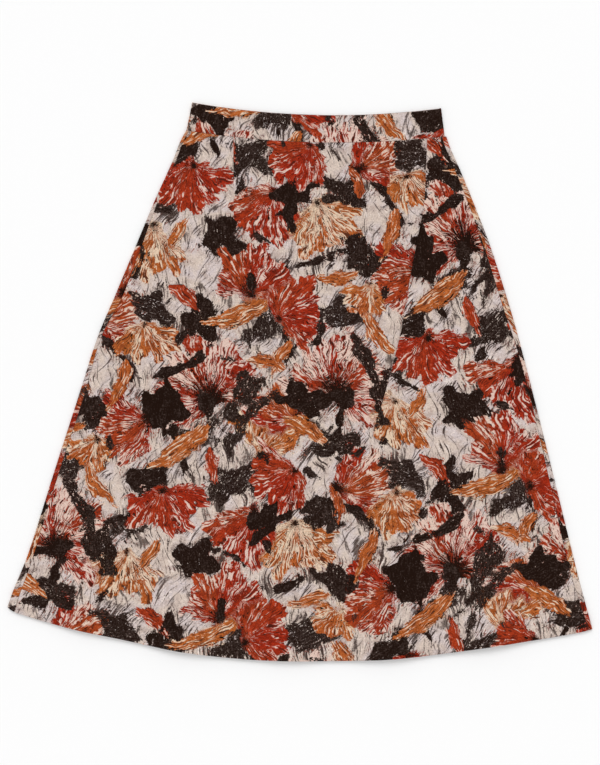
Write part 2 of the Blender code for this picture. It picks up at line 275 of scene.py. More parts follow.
def bell(t):
    """A smooth hump: 1 at t = 0, and 0 from |t| = 1 on."""
    return 0.5 + 0.5 * np.cos(np.pi * np.minimum(np.abs(t), 1))


def ramp(value, low, high):
    """A smooth step from 0 at low to 1 at high."""
    t = np.clip((value - low) / (high - low), 0, 1)
    return t * t * (3 - 2 * t)


def waist_line(x, share):
    """Height at x of a line along the waist: share 0 is the top edge and 1 the band seam."""
    dip = WAIST_DIP + (SEAM_DIP - WAIST_DIP) * share
    return WAIST_MIDDLE - BAND_DEPTH * share + dip * (x / WAIST_HALF) ** 2 + WAIST_TILT * x


def side_height(v):
    """Height of row v at the sides: v is 0 at the band seam and 1 at the hem."""
    return SIDE_LINE[0].y + (SIDE_LINE[-1].y - SIDE_LINE[0].y) * v


def seam(v, side):
    """How far the side seam lies in from the folded edge on row v."""
    return read_curve(SIDE_ROLL, side_height(v), side)


def edge(v, side):
    """How far the folded edge of a side lies from the middle on row v."""
    return read_curve(SIDE_LINE, side_height(v), side)


def half_width(x, v):
    """The same, for the side that x is on."""
    return np.where(x < 0, edge(v, "left"), edge(v, "right"))


def hem_line(x):
    """Height of the hem at x: a shallow bow with its waves and rounded corners."""
    end = half_width(x, 1)
    waves = sum(wave.lift * bell((x - wave.x) / wave.reach) for wave in HEM_WAVES)
    corner = np.maximum(0, 1 - (end - np.abs(x)) / HEM_CORNER_RUN)
    return HEM_MIDDLE + HEM_RISE * (x / end) ** 2 + waves + np.where(x < 0, *HEM_CORNERS) * corner**2


def row_height(x, v):
    """Height of row v at x, between the band seam above it and the hem below it."""
    share = x / half_width(x, v)
    top = waist_line(share * half_width(x, 0), 1)
    return top + (hem_line(share * half_width(x, 1)) - top) * v


def on_row(line, v):
    """Where a line down the skirt crosses the rows v."""
    x = np.zeros_like(v)
    for _ in range(6):
        x = read_curve(line, row_height(x, v), "x")
    return x


def thickened(v, thin, thick, start, stop):
    """A thickness that grows around the top of the hem's turning."""
    above_hem = (1 - v) * PANEL_LENGTH
    return thin + (thick - thin) * ramp(-above_hem, start - HEM_TURN, stop - HEM_TURN)


def wall(v):
    """Thickness of the solid's wall at row v."""
    return thickened(v, WALL, HEM_WALL, *WALL_EASE)


def cloth_at(v):
    """Thickness of the shell at row v."""
    return thickened(v, CLOTH, HEM_CLOTH, *CLOTH_EASE)


# ---- form of the front ----
def ridge(rows, x, y):
    """The rise of one ridge of the front."""
    off = x - read_curve(rows, y, "x")
    width = np.where(off < 0, read_curve(rows, y, "left"), read_curve(rows, y, "right"))
    return read_curve(rows, y, "height") * bell(off / width)


def crease(row, x, y):
    """The rise of a small crease, which bows a little and fades out at its ends."""
    run_x, run_y = row.x1 - row.x0, row.y1 - row.y0
    length = math.hypot(run_x, run_y)
    along = ((x - row.x0) * run_x + (y - row.y0) * run_y) / length**2
    across = ((x - row.x0) * run_y - (y - row.y0) * run_x) / length
    on_it = np.clip(along, 0, 1)
    across = across + CREASE_BOW * length * np.sin(np.pi * on_it)
    return row.height * bell(across / (row.width * (0.7 + 0.6 * on_it))) * bell(2 * along - 1)


def front_form(x, y, v):
    """How far the ridges, creases and slow ripples raise the front."""
    rise = sum(ridge(rows, x, y) for rows in FRONT_FORMS) + sum(crease(row, x, y) for row in CREASES)
    ripple = np.sin(x * 61 + 1.3 * np.sin(y * 17)) * np.sin(y * 23 + 2.1 * np.sin(x * 13))
    return rise + RIPPLE * ripple * ramp(v, 0, 0.2)


def front_top(x, y, v):
    """Height of the front's right side, without its darts, lapped fold and seams."""
    share = np.minimum(1, np.abs(x) / half_width(x, v))
    puff = PUFF * (1 - share**PUFF_SQUARE)
    puff = puff * (PUFF_AT_WAIST + (1 - PUFF_AT_WAIST) * np.minimum(1, v / PUFF_GROWS))
    inside = 1 - bell((1 - share) / FOLDS_FADE)
    return 2 * wall(v) + np.maximum(SEAM_GAP, PANEL_SPACE + puff + front_form(x, y, v) * inside)


def seam_rise(kind, distance, along, phase):
    """The rise of the cloth beside a seam: its roll, the allowances under it and the puckers."""
    roll = -SEAM_DROP[kind] * np.maximum(0, 1 - distance / SEAM_DROP_RUN) ** 2
    lift = ALLOWANCE_LIFT * (1 - ramp(distance, ALLOWANCE - 0.003, ALLOWANCE + 0.002))
    wave = np.sin(along * 290 + phase) * np.sin(along * 87 + 2 * phase) + 0.6 * np.sin(along * 530 + phase)
    return roll + lift + PUCKER * wave * bell(distance / PUCKER_RUN)


def dart_rise(side, off, y):
    """The groove of a dart's seam, and the cloth pressed from it towards the middle."""
    depth = read_curve(DARTS[side], y, "depth")
    groove = -depth * np.maximum(0, 1 - np.abs(off) / DART_GROOVE_RUN) ** 2
    inward = off * -SIGN[side]
    return groove + DART_PRESSED * depth * bell((inward - DART_PRESSED_OFF) / DART_PRESSED_RUN)


# ---- sections ----
def between(start, stop, count):
    """Evenly spaced columns after start and before stop."""
    return [start + (stop - start) * k / (count + 1) for k in range(1, count + 1)]


def grids(points):
    """The x and the z of a section's points, for all rows."""
    return [np.stack(values, axis=1) for values in zip(*points)]


def path_length(x, z, origin):
    """The length along each section, from its column origin."""
    steps = np.hypot(np.diff(x, axis=1), np.diff(z, axis=1))
    length = np.concatenate((np.zeros((len(x), 1)), np.cumsum(steps, axis=1)), axis=1)
    return length - length[:, origin : origin + 1]


def border_distance(x, y, z):
    """How far each point of a grid is from the grid's edge, along its rows and columns."""
    from_left = path_length(x, z, 0)
    to_sides = np.minimum(from_left, from_left[:, -1:] - from_left)
    return np.minimum(to_sides, np.minimum(np.abs(y - y[:1]), np.abs(y - y[-1:])))


def panel_rows():
    """The rows of a panel, closer at its ends and at the top of the hem's turning."""
    offsets = np.array(EDGE_OFFSETS) / PANEL_LENGTH
    turn = 1 - HEM_TURN / PANEL_LENGTH
    near_turn = turn + np.array(TURN_ROWS) / PANEL_LENGTH
    body = np.linspace(offsets[-1], 1 - offsets[-1], PANEL_ROWS)
    body = body[np.abs(body - turn) > TURN_ROOM / PANEL_LENGTH]
    return np.sort(np.concatenate((offsets[:-1], body, near_turn, 1 - offsets[:-1])))


def fold_columns(v, lap):
    """The x and the rise of the lapped fold's columns. Lower down it opens into a plain ridge."""
    y = row_height(lap, v)
    depth, closed = (read_curve(LAP_DEPTH, y, column) for column in ("depth", "closed"))
    height = read_curve(LAP_FORM, y, "height")
    columns = []
    for step, open_x in zip(FOLD_PATH, np.linspace(*FOLD_OPEN, len(FOLD_PATH))):
        open_rise = bell(open_x / read_curve(LAP_FORM, y, "left")) if open_x < 0 else 1
        off = closed * (step.reach * depth + step.side) + (1 - closed) * open_x
        columns.append((lap + off, height * (closed * step.rise + (1 - closed) * open_rise)))
    return columns


def front_section(v):
    """The front panel's rows: the x, y and z of its right side, and the print's place across."""
    middle, lap = on_row(MIDDLE_LINE, v), on_row(LAP_LINE, v)
    folds = fold_columns(v, lap)
    rims, darts, dart_columns = {}, {}, {}
    for side, sign in SIGN.items():
        rims[side] = sign * (edge(v, side) - seam(v, side) - SIDE_GAP / 2)
        darts[side] = on_row(DART_LINES[side], v)
        below_point = DARTS[side][-1].y - row_height(darts[side], v)
        spread = 1 + DART_RELAX * ramp(below_point, 0, DART_RELAX_RUN)
        dart_columns[side] = [darts[side] + step * spread for step in DART_OFFSETS]
    room = np.minimum(1, (rims["right"] - folds[-1][0]) / RIGHT_EDGE_ROOM)
    stops = {
        "left edge": [rims["left"] + step for step in EDGE_OFFSETS],
        "left dart": dart_columns["left"],
        "middle": [middle],
        "right dart": dart_columns["right"],
        "lapped fold": [x for x, _ in folds],
        "right edge": [rims["right"] - step * room for step in EDGE_OFFSETS[::-1]],
    }
    columns, starts = [], {}
    for name, stop in stops.items():
        if columns:
            columns += between(columns[-1], stop[0], FRONT_FILLS[name])
        starts[name] = len(columns)
        columns += stop

    x, v = np.stack(columns, axis=1), v[:, None]
    y = row_height(x, v)
    z = front_top(x, y, v)
    fold_start, fold_stop = starts["lapped fold"], starts["lapped fold"] + len(folds)
    z[:, fold_start:fold_stop] += np.stack([rise for _, rise in folds], axis=1)
    z[:, fold_stop:] += ridge(LAP_FORM, np.maximum(x, lap[:, None]), y)[:, fold_stop:]
    z += seam_rise("band", waist_line(x, 1) - y, x, 0.4)
    for side, sign in SIGN.items():
        z += seam_rise("side", np.abs(x - rims[side][:, None]), y, sign)
        z += dart_rise(side, x - darts[side][:, None], y)

    across = path_length(x, z, starts["middle"])
    for side, sign in SIGN.items():
        beyond = sign * (x - darts[side][:, None]) > 0
        across += sign * beyond * read_curve(DARTS[side], y, "intake")
    return x, y, z, across


def back_section(v):
    """The same of the back panel, from its right seam round to its left one, and its border."""
    radius = wall(v) + PANEL_SPACE / 2
    sides = {}
    for side, sign in SIGN.items():
        centre = edge(v, side) - radius
        reach = edge(v, side) - np.maximum(seam(v, side) - SIDE_GAP / 2, radius + SEAM_GAP)
        laps = [(sign * (reach + (centre - reach) * share), 2 * radius) for share in SIDE_LAP_SHARES]
        turns = [(sign * (centre + radius * math.sin(a)), radius * (1 + math.cos(a))) for a in SIDE_ARC]
        sides[side] = laps + turns
    right, left = sides["right"], sides["left"]
    floor = [(x, 0 * radius) for x in between(right[-1][0], left[-1][0], BACK_FILL)]
    x, z = grids(right + floor + left[::-1])
    y = row_height(x, v[:, None])
    border = border_distance(x, y, z)
    off_seam = np.minimum(np.abs(x - x[:, :1]), np.abs(x - x[:, -1:]))
    lapped = z > wall(v)[:, None] * LAPPED
    z = z + np.where(lapped, seam_rise("side", off_seam, y, 2.3), 0)
    return x, y, z, path_length(x, z, len(right) + BACK_FILL // 2), border


def band_end(side, share, way, run):
    """The x and z of the band's cloth, run from its end seam: the front, way -1, or the back, way 1."""
    half = WAIST_HALF + (BAND_FOOT_HALF - WAIST_HALF) * share
    top, foot = BAND_SEAMS[side]
    turn = np.radians(top + (foot - top) * share) + way * (run + SIDE_GAP / 2) / BAND_RADIUS
    on_roll = np.clip(turn, 0, math.pi)
    past = np.abs(turn - on_roll) * BAND_RADIUS
    out = half - BAND_RADIUS + BAND_RADIUS * np.sin(on_roll) - past
    return SIGN[side] * out, BAND_RADIUS * (1 + np.cos(on_roll))


def band_section(share, way, fill):
    """The rows of the front band, from left to right, or of the back one, from right to left."""
    first, last = ("left", "right") if way < 0 else ("right", "left")
    start = [band_end(first, share, way, run) for run in BAND_END_RUNS]
    stop = [band_end(last, share, way, run) for run in BAND_END_RUNS[::-1]]
    flat = [(x, start[-1][1]) for x in between(start[-1][0], stop[0][0], fill)]
    x, z = grids(start + flat + stop)
    x = x + BAND_SHIFT
    return x, waist_line(x, share[:, None]), z, len(start) + fill // 2


# ---- shells ----
def add_object(name, data):
    """A new object in the scene."""
    made = bpy.data.objects.new(name, data)
    bpy.context.scene.collection.objects.link(made)
    return made


def shell(name, x, y, z, thickness, border):
    """A closed shell on the grid of its right side. border is how far each point is from an edge."""
    tangent_x, tangent_z = np.gradient(x, axis=1), np.gradient(z, axis=1)
    length = np.maximum(np.hypot(tangent_x, tangent_z), 1e-9)
    out_x, out_z = -tangent_z / length, tangent_x / length
    inward = 1 - np.minimum(border / (thickness / 2), 1)
    rounded = np.maximum(EDGE_FLOOR, np.sqrt(np.maximum(0, 1 - inward**2)))
    inset = thickness / 2 * (1 - rounded)
    points = []
    for depth in (inset, thickness - inset):
        grid = np.stack((x - out_x * depth, y, np.maximum(z - out_z * depth, 0)), axis=2)
        points.append(grid.reshape(-1, 3))
    index = np.arange(x.size).reshape(x.shape)
    corners = index[:-1, :-1], index[1:, :-1], index[1:, 1:], index[:-1, 1:]
    right = np.stack(corners, axis=2).reshape(-1, 4)
    wrong = right[:, (0, 3, 2, 1)] + x.size
    rim = np.concatenate((index[0, :-1], index[:-1, -1], index[-1, :0:-1], index[:0:-1, 0]))
    after = np.roll(rim, -1)
    sides = np.stack((rim, after, after + x.size, rim + x.size), axis=1)
    mesh = bpy.data.meshes.new(name)
    mesh.from_pydata(np.concatenate(points), [], np.concatenate((right, sides, wrong)))
    mesh.validate()
    mesh.shade_smooth()
    is_wrong = np.arange(len(mesh.polygons)) >= len(right) + len(sides)
    mesh.polygons.foreach_set("material_index", is_wrong.astype(np.int32))
    mesh.update()
    return add_object(name, mesh)


# ---- print: where each motif lies ----
REPEAT_WIDTH = 0.36
REPEAT_LENGTH = 0.44  # each repeat is dropped by half of this from the one beside it
STREAKS = 500  # to a metre, across the brush and along it
STREAKS_ALONG = 34

# A bloom is a fan of petals: x and y are its root, wide and tall its reach to the side and ahead,
# spread the angle to each side at which it ends. near and far are the shares of light streaks at the
# root and the rim, warmth runs from red, 0, to orange, 1, blend is how far the petals differ in it,
# and heart is the share of the reach that is dark.
BLOOM = "x y wide tall | turn spread petals near far warmth blend heart"
BLOOMS_LOW = table(
    BLOOM,
    (85, 74, 80, 96, 12, 112, 11, 0.43, 0.77, 0.05, 0.1, 0.2),
    (276, 282, 78, 98, -20, 106, 10, 0.37, 0.73, 0.05, 0.1, 0.22),
    (352, 128, 72, 82, 200, 62, 5, 0.19, 0.37, 0.06, 0.15, 0.1),
    (196, 252, 76, 84, -112, 58, 5, 0.21, 0.41, 0.06, 0.2, 0.12),
    (50, 334, 76, 76, 168, 66, 6, 0.75, 0.39, 0.92, 0.12, 0.06),
    (188, 72, 72, 74, 190, 60, 6, 0.67, 0.35, 0.9, 0.12, 0.06),
    (348, 204, 64, 76, 15, 56, 5, 0.53, 0.37, 0.92, 0.12, 0.08),
    (104, 382, 74, 78, 62, 60, 6, 0.23, 0.55, 0.1, 0.3, 0.1),
    (34, 36, 64, 74, -82, 64, 5, 0.23, 0.45, 0.12, 0.4, 0.1),
)
BLOOMS_TOP = table(
    BLOOM,
    (226, 158, 66, 70, 170, 76, 7, 0.13, 0.29, 0.02, 0.08, 0.06),
    (0, 176, 66, 68, 58, 76, 7, 0.13, 0.29, 0.04, 0.12, 0.08),
    (178, 380, 54, 58, 165, 66, 6, 0.51, 0.29, 0.9, 0.12, 0.06),
    (322, -16, 62, 80, -4, 78, 7, 0.23, 0.47, 0.08, 0.2, 0.14),
    (38, 412, 62, 66, -130, 74, 6, 0.11, 0.29, 0.03, 0.1, 0.08),
    (128, 222, 44, 46, 205, 60, 5, 0.49, 0.29, 0.88, 0.12, 0.06),
)
STROKE = "x y length width bend | turn taper light"
LEAVES = table(  # long dabs in the warm colours
    STROKE + " warmth",
    (240, 218, 104, 30, 7, 52, 2, 0.26, 0.92), (140, 160, 78, 20, -5, -38, 2.2, 0.34, 0.85),
    (304, 404, 108, 28, 8, 68, 2, 0.28, 0.95), (148, 296, 74, 20, 5, 15, 2.2, 0.25, 0.8),
    (50, 20, 80, 24, 6, -62, 2.2, 0.3, 0.92), (290, 190, 56, 18, -3, -20, 2.4, 0.2, 0.15),
    (78, 236, 66, 18, 5, 80, 2.2, 0.28, 0.88), (232, 416, 60, 20, 4, -50, 2.2, 0.18, 0.15),
    (10, 120, 56, 16, -4, 25, 2.4, 0.25, 0.85), (350, 330, 62, 18, 4, -75, 2.2, 0.28, 0.82),
    (214, 66, 50, 15, 4, 30, 2.2, 0.2, 0.9), (100, 362, 52, 15, 4, -15, 2.2, 0.24, 0.5),
)
MASSES_LOW = table(  # patches of charcoal: grain is the way of the brush, light how full it was
    "x y wide tall | turn grain lobes light",
    (40, 66, 38, 23, 20, 40, 4, 1.1), (152, 70, 20, 42, -15, 5, 3, 0.75),
    (282, 64, 33, 25, 10, -30, 4, 0.95), (86, 186, 42, 20, -10, 70, 4, 0.62),
    (206, 170, 24, 34, 35, 20, 3, 0.9), (318, 172, 37, 22, -25, 60, 4, 0.65),
    (112, 262, 34, 22, 30, -40, 4, 0.8), (214, 270, 27, 36, -20, 10, 4, 1.2),
    (318, 290, 20, 37, 15, -10, 3, 0.65), (16, 345, 38, 23, -35, 50, 4, 1.1),
    (86, 350, 28, 24, 10, -20, 4, 0.75), (186, 405, 34, 22, 25, 75, 4, 0.65),
    (258, 390, 24, 34, -10, 15, 4, 0.95), (345, 386, 20, 34, 40, -50, 3, 0.6),
    (90, 6, 34, 20, 0, 80, 4, 0.7), (356, 170, 24, 18, 60, 20, 3, 0.55),
    (186, 108, 22, 16, 10, -60, 3, 0.55), (268, 236, 28, 16, -30, 50, 3, 0.55),
)
STEMS = table(  # long strokes of charcoal
    STROKE,
    (82, 30, 120, 13, 12, 8, 6, 1.1), (246, 236, 130, 14, -14, -12, 6, 1.1),
    (176, 128, 90, 12, 10, 60, 5, 0.9), (308, 232, 100, 10, -10, 40, 5, 0.8),
    (40, 262, 100, 12, 12, 75, 5, 0.9), (142, 330, 94, 13, 10, -35, 5, 0.9),
    (2, 150, 96, 12, 10, -15, 5, 0.9), (274, 150, 70, 10, 6, 85, 4, 0.8),
    (118, 112, 120, 19, 12, -28, 4, 0.7), (338, 246, 130, 18, -14, 32, 4, 0.6),
    (232, 336, 110, 17, 12, 62, 4, 0.9), (16, 212, 110, 16, -12, -48, 4, 0.6),
)
DABS = table(  # small dark dabs on top
    STROKE,
    (98, 66, 44, 22, 3, 5, 3, 0.9), (270, 270, 48, 24, 3, -15, 3, 0.9),
    (50, 150, 36, 9, 4, 50, 3, 0.8), (62, 168, 34, 8, -3, 20, 3, 0.8),
    (200, 92, 44, 11, 4, -70, 3, 0.8), (300, 134, 34, 12, 3, 20, 3, 0.8),
    (190, 312, 38, 10, 4, 75, 3, 0.8), (12, 300, 34, 13, 3, -30, 3, 0.9),
    (142, 206, 44, 9, 4, 0, 3, 0.7), (230, 362, 40, 10, -4, 30, 3, 0.8),
    (110, 434, 44, 10, 4, 65, 3, 0.8), (334, 62, 38, 10, 3, -55, 3, 0.8),
    (322, 436, 40, 13, 3, -10, 3, 0.9), (160, 8, 34, 9, 3, 40, 3, 0.8),
    (352, 200, 32, 10, 3, -40, 3, 0.8), (60, 404, 38, 9, 3, -70, 3, 0.8),
    (128, 110, 40, 7, 5, 35, 4, 0.6), (300, 330, 40, 7, 5, -60, 4, 0.6),
)


def nearest_repeat(s, t, motif):
    """Where the points lie from a motif's nearest repeat, in its own turned axes."""
    off_s = s - motif.x
    drop = np.round(off_s / REPEAT_WIDTH)
    off_s = off_s - drop * REPEAT_WIDTH
    off_t = t - motif.y - drop * REPEAT_LENGTH / 2
    off_t = off_t - np.round(off_t / REPEAT_LENGTH) * REPEAT_LENGTH
    sin, cos = math.sin(math.radians(motif.turn)), math.cos(math.radians(motif.turn))
    return off_s * cos - off_t * sin, off_s * sin + off_t * cos


def wander(s, t, share):
    """The points moved by some millimetres in slow curves."""
    s_off = 4 * np.sin(t * 71 + 2 * np.sin(s * 41)) + 2.2 * np.sin(t * 203 + s * 120 + 1)
    t_off = 4 * np.sin(s * 68 + 2 * np.sin(t * 37)) + 2.2 * np.sin(s * 221 - t * 140 + 2)
    return s + share * s_off * MM, t + share * t_off * MM


class Layer:
    """One pass of the print: at each point of the cloth, the motif that covers it most."""

    def __init__(self, s, t):
        self.place, self.steady, self.brush = (wander(s, t, share) for share in (1, 0.4, 0.2))
        self.values = np.zeros((*s.shape, 7))
        self.values[..., 0] = -1

    def add(self, depth, flow, dark, light, warmth=0):
        values = np.stack(np.broadcast_arrays(depth, dark, light, warmth, *flow), axis=-1)
        self.values = np.where(values[..., :1] > self.values[..., :1], values, self.values)

    def bloom(self, row, seed):
        across, up = nearest_repeat(*self.place, row)
        p, q, spread = across / row.wide, up / row.tall, math.radians(row.spread)
        angle, reach = np.arctan2(p, q), np.hypot(p, q)
        petal = row.petals * angle / (2 * spread) + 0.3 * np.sin(2 * angle + seed)
        number = np.round(petal)
        gap = 2 * np.abs(petal - number)
        size = min(row.wide, row.tall)
        rim = 0.92 + 0.09 * np.sin(number * 2.4 + seed) - 0.13 * gap**3
        inside = np.clip(spread - np.abs(angle), -math.pi / 2, math.pi / 2)
        depth = np.minimum(rim - reach, 0.1 + reach * np.sin(inside)) * size
        share = np.clip((reach - row.heart) / (1 - row.heart), 0, 1)
        light = row.near + (row.far - row.near) * share + 0.16 * np.sin(number * 4.1 + 2 * seed)
        warmth = row.warmth + row.blend * np.sin(number * 5.3 + 3 * seed)
        dark = np.maximum(1.15 - 0.6 * reach / row.heart, 0.55 * ramp(gap, 0.6, 1) * (1 - share))
        across, up = nearest_repeat(*self.brush, row)
        from_root = np.hypot(across, up)
        bent = np.arctan2(across, up) + 0.1 * np.sin(number * 3.7) + 3 * from_root * math.cos(seed * 2.1)
        turns = 0.6 * size * STREAKS
        flow = (turns * np.sin(bent), turns * np.cos(bent), from_root * STREAKS_ALONG + seed * 3.7)
        self.add(depth, flow, np.maximum(dark, 0), light, np.clip(warmth, 0, 1))

    def mass(self, row, seed):
        across, up = nearest_repeat(*self.place, row)
        p, q = across / row.wide, up / row.tall
        angle = np.arctan2(p, q)
        rim = 1 + 0.2 * np.cos(row.lobes * angle + seed)
        rim = rim + 0.1 * np.cos((row.lobes * 2 + 1) * angle + 2 * seed)
        depth = (rim - np.hypot(p, q)) * min(row.wide, row.tall)
        grain = math.radians(row.grain)
        across, up = nearest_repeat(*self.brush, row)
        with_brush = across * math.sin(grain) + up * math.cos(grain)
        over_brush = across * math.cos(grain) - up * math.sin(grain)
        self.add(depth, (over_brush * STREAKS, seed * 3.7, with_brush * STREAKS_ALONG), 0, row.light)

    def stroke(self, row, seed):
        across, up = nearest_repeat(*self.steady, row)
        share = 2 * up / row.length
        across = across - row.bend * (1 - share**2)
        width = row.width / 2 * np.maximum(0, 1 - np.abs(share) ** row.taper) * (1 + 0.3 * share)
        depth = np.minimum(width - np.abs(across), row.length / 2 - np.abs(up))
        dark = 0.42 * ramp(across / row.width, 0.1, 0.5)
        flow = (across * STREAKS, seed * 3.7, up * STREAKS_ALONG)
        self.add(depth, flow, dark, row.light, getattr(row, "warmth", 0))


PASSES = {  # of the print, from the lowest up
    "bloom_low": ((Layer.bloom, BLOOMS_LOW),),
    "ink_low": ((Layer.mass, MASSES_LOW), (Layer.stroke, STEMS)),
    "bloom_top": ((Layer.bloom, BLOOMS_TOP), (Layer.stroke, LEAVES)),
    "ink_top": ((Layer.stroke, DABS),),
}


def add_print(piece, across, down, start):
    """Stores the print on a shell's points, the same on its right and wrong side."""
    s, t = across + start[0], down + start[1]

    def store(name, values):
        kind, field = ("FLOAT_VECTOR", "vector") if values.ndim == 3 else ("FLOAT", "value")
        twice = np.tile(values.reshape(-1), 2).astype(np.float32)
        piece.data.attributes.new(name, kind, "POINT").data.foreach_set(field, twice)

    store("cloth_place", np.stack((s, t, 0 * s), axis=2))
    seed = 0
    for name, motifs in PASSES.items():
        layer = Layer(s, t)
        for draw, rows in motifs:
            for row in rows:
                seed += 1
                draw(layer, row, seed % 9 + seed * 0.13)
        layer.values[..., 0] /= MM
        store(name + "_flow", layer.values[..., 4:])
        store(name + "_shape", layer.values[..., :3])
        store(name + "_warmth", layer.values[..., 3])


# ---- materials ----
class Graph:
    """Adds nodes to a material. An input is a number, a colour's name or a node's output."""

    def __init__(self, name):
        self.material = bpy.data.materials.new(name)
        self.material.use_nodes = True
        self.tree = self.material.node_tree
        self.shader = self.tree.nodes["Principled BSDF"]

    def feed(self, socket, value):
        if isinstance(value, bpy.types.NodeSocket):
            self.tree.links.new(value, socket)
        elif isinstance(value, str):
            socket.default_value = (*getattr(bpy.context.scene.skirt_print, value), 1)
        else:
            socket.default_value = value

    def node(self, kind, *values, **settings):
        """A node of a kind, with its settings made and its first inputs fed."""
        node = self.tree.nodes.new("ShaderNode" + kind)
        for name, value in settings.items():
            setattr(node, name, value)
        for socket, value in zip(node.inputs, values):
            self.feed(socket, value)
        return node

    def finish(self, **values):
        """Sets the shader's own sockets, which are named with _ for a blank."""
        for name, value in values.items():
            self.shader.inputs[name.replace("_", " ")].default_value = value
        return self.material

    def math(self, operation, *values):
        return self.node("Math", *values, operation=operation).outputs[0]

    def times(self, value, factor):
        return self.math("MULTIPLY", value, factor)

    def add(self, *terms):
        """Sums its terms. A pair is a value of 0 to 1 and how far it swings about nought."""
        total, *others = (
            self.math("MULTIPLY_ADD", term[0], term[1], -0.5 * term[1]) if isinstance(term, tuple) else term
            for term in terms
        )
        for term in others:
            total = self.math("ADD", total, term)
        return total

    def step(self, low, high, *terms):
        """A smooth step from 0 to 1 where the sum of the terms passes from low to high."""
        total = self.add(*terms)
        return self.node("MapRange", total, low, high, 0, 1, interpolation_type="SMOOTHSTEP").outputs[0]

    def mix(self, share, first, second):
        node = self.node("Mix", share, data_type="RGBA")
        self.feed(node.inputs[6], first)
        self.feed(node.inputs[7], second)
        return node.outputs[2]

    def lay(self, under, over, low, high, *terms):
        """Lays a colour over another, along such a step."""
        return self.mix(self.step(low, high, *terms), under, over)

    def noise(self, place, scale, detail=2, roughness=0.5, spread=0.2):
        """Noise stretched to fill 0 to 1: spread is how far it strays from its middle."""
        value = self.node("TexNoise", place, 0, scale, detail, roughness).outputs[0]
        return self.node("MapRange", value, 0.5 - spread, 0.5 + spread, 0, 1).outputs[0]

    def curved(self, vector, place, scale, size):
        """The vector moved by up to about a fifth of size to each side, in curves of that scale."""
        colour = self.node("TexNoise", place, 0, scale, 1).outputs[1]
        return self.node("VectorMath", colour, (size, size, 0), vector, operation="MULTIPLY_ADD").outputs[0]

    def brushed(self, place, degrees, across, along, detail=2):
        """Noise drawn out into strokes at an angle to the cloth's length."""
        node = self.node("Mapping", place, vector_type="TEXTURE")
        node.inputs["Rotation"].default_value = (0, 0, math.radians(-degrees))
        node.inputs["Scale"].default_value = (1 / across, 1 / along, 1)
        return self.noise(node.outputs[0], 1, detail, 0.6)

    def stored(self, name, output="Vector"):
        return self.node("Attribute", attribute_name=name).outputs[output]

    def parts(self, name):
        return self.node("SeparateXYZ", self.stored(name)).outputs


def ground_coat(graph, place, near_ink):
    """The pale ground, brushed with grey smears, dashes and hairlines, thicker beside the ink."""
    patches = graph.noise(place, 27, 3)
    smudge = graph.noise(place, 75, 4, 0.7)
    grain = graph.noise(place, 420, 2, 0.6)
    curved = graph.curved(place, place, 21, 0.034)
    wash = graph.lay("wash", "wash_warm", -22, -2, graph.parts("bloom_low_shape")[0])
    base = graph.lay("ground", "ground_cool", 0.35, 0.75, patches)
    colour = graph.lay("ground_shade", base, -0.1, 0.7, smudge, (grain, 0.7))
    for degrees, side in ((28, 1), (-17, -1)):
        stroke = graph.brushed(curved, degrees, 260, 40, 4)
        dash = graph.brushed(curved, degrees + 4, 430, 80, 1)
        hair = graph.brushed(curved, degrees + 7, 460, 24, 1)
        where = graph.add((patches, 1.2 * side))
        colour = graph.lay(colour, "ground_light", 0.9, 1.3, stroke, where, (grain, 0.8))
        smear = graph.add(graph.times(stroke, -0.6), where, (smudge, -0.8))
        colour = graph.lay(colour, wash, 0.4, 1.1, smear, (grain, 1), (dash, 0.8), near_ink)
        colour = graph.lay(colour, wash, 0.98, 1.25, dash, graph.times(where, 0.5), (grain, 0.4), near_ink)
        line = graph.add(hair, graph.times(where, 0.8), (grain, 0.3), near_ink)
        colour = graph.lay(colour, "charcoal_soft", 0.98, 1.2, line)
        bend = graph.add((graph.brushed(curved, degrees - 4, 52, 8, 0), 1))
        drawn = graph.add(graph.math("ABSOLUTE", bend), (hair, -0.12), (grain, -0.08))
        drawn = graph.math("SUBTRACT", 1, graph.step(-0.02, 0.06, drawn, graph.times(where, -0.16)))
        colour = graph.mix(graph.times(drawn, 0.85), colour, "charcoal_soft")
        dab = graph.brushed(curved, degrees + 12, 125, 42, 2)
        colour = graph.lay(colour, "charcoal", 1.05, 1.18, dab, (stroke, 0.4), (grain, 0.3), near_ink)
    return graph.lay(colour, wash, 0.95, 1.25, grain, (smudge, -0.7), near_ink)


def bloom_coat(graph, name, place, under):
    """A pass of blooms and leaves, streaked from the root to the rim."""
    depth, dark, light = graph.parts(name + "_shape")
    warmth = graph.stored(name + "_warmth", "Fac")
    flow = graph.curved(graph.stored(name + "_flow"), place, 48, 4.5)
    streak = graph.noise(flow, 0.75, 2, 0.6)
    hair = graph.noise(flow, 1.25, 1, 0.6)
    blot = graph.noise(place, 75, 2)
    fray = graph.noise(place, 400, 2, 0.6)
    ragged = graph.times(graph.add((streak, 10), (fray, 5.5)), graph.noise(place, 38, 1))
    mask = graph.step(-0.5, 0.5, depth, (blot, 6), ragged)

    tone = graph.step(-0.5, 0.4, (fray, 0.7), (hair, 0.5), (blot, 0.4))
    red = graph.mix(tone, "red_deep", "red")
    orange = graph.mix(tone, "orange_deep", "orange")
    pale = graph.mix(warmth, "pink", "cream")
    paint = graph.mix(warmth, red, orange)
    pick = graph.add((streak, 0.8), (hair, 0.7), (blot, 0.45), light)
    paint = graph.lay(paint, pale, 0.4, 0.74, pick, (fray, 0.25))
    deep = graph.mix(warmth, "red_dark", "brown")
    paint = graph.lay(paint, deep, -0.26, -0.06, graph.times(hair, -1), (streak, 0.5), (fray, 0.4))
    paint = graph.lay(paint, "charcoal", 0.42, 0.56, (hair, 0.8), (streak, -0.6), (fray, 0.5), dark)
    return graph.mix(mask, under, paint)


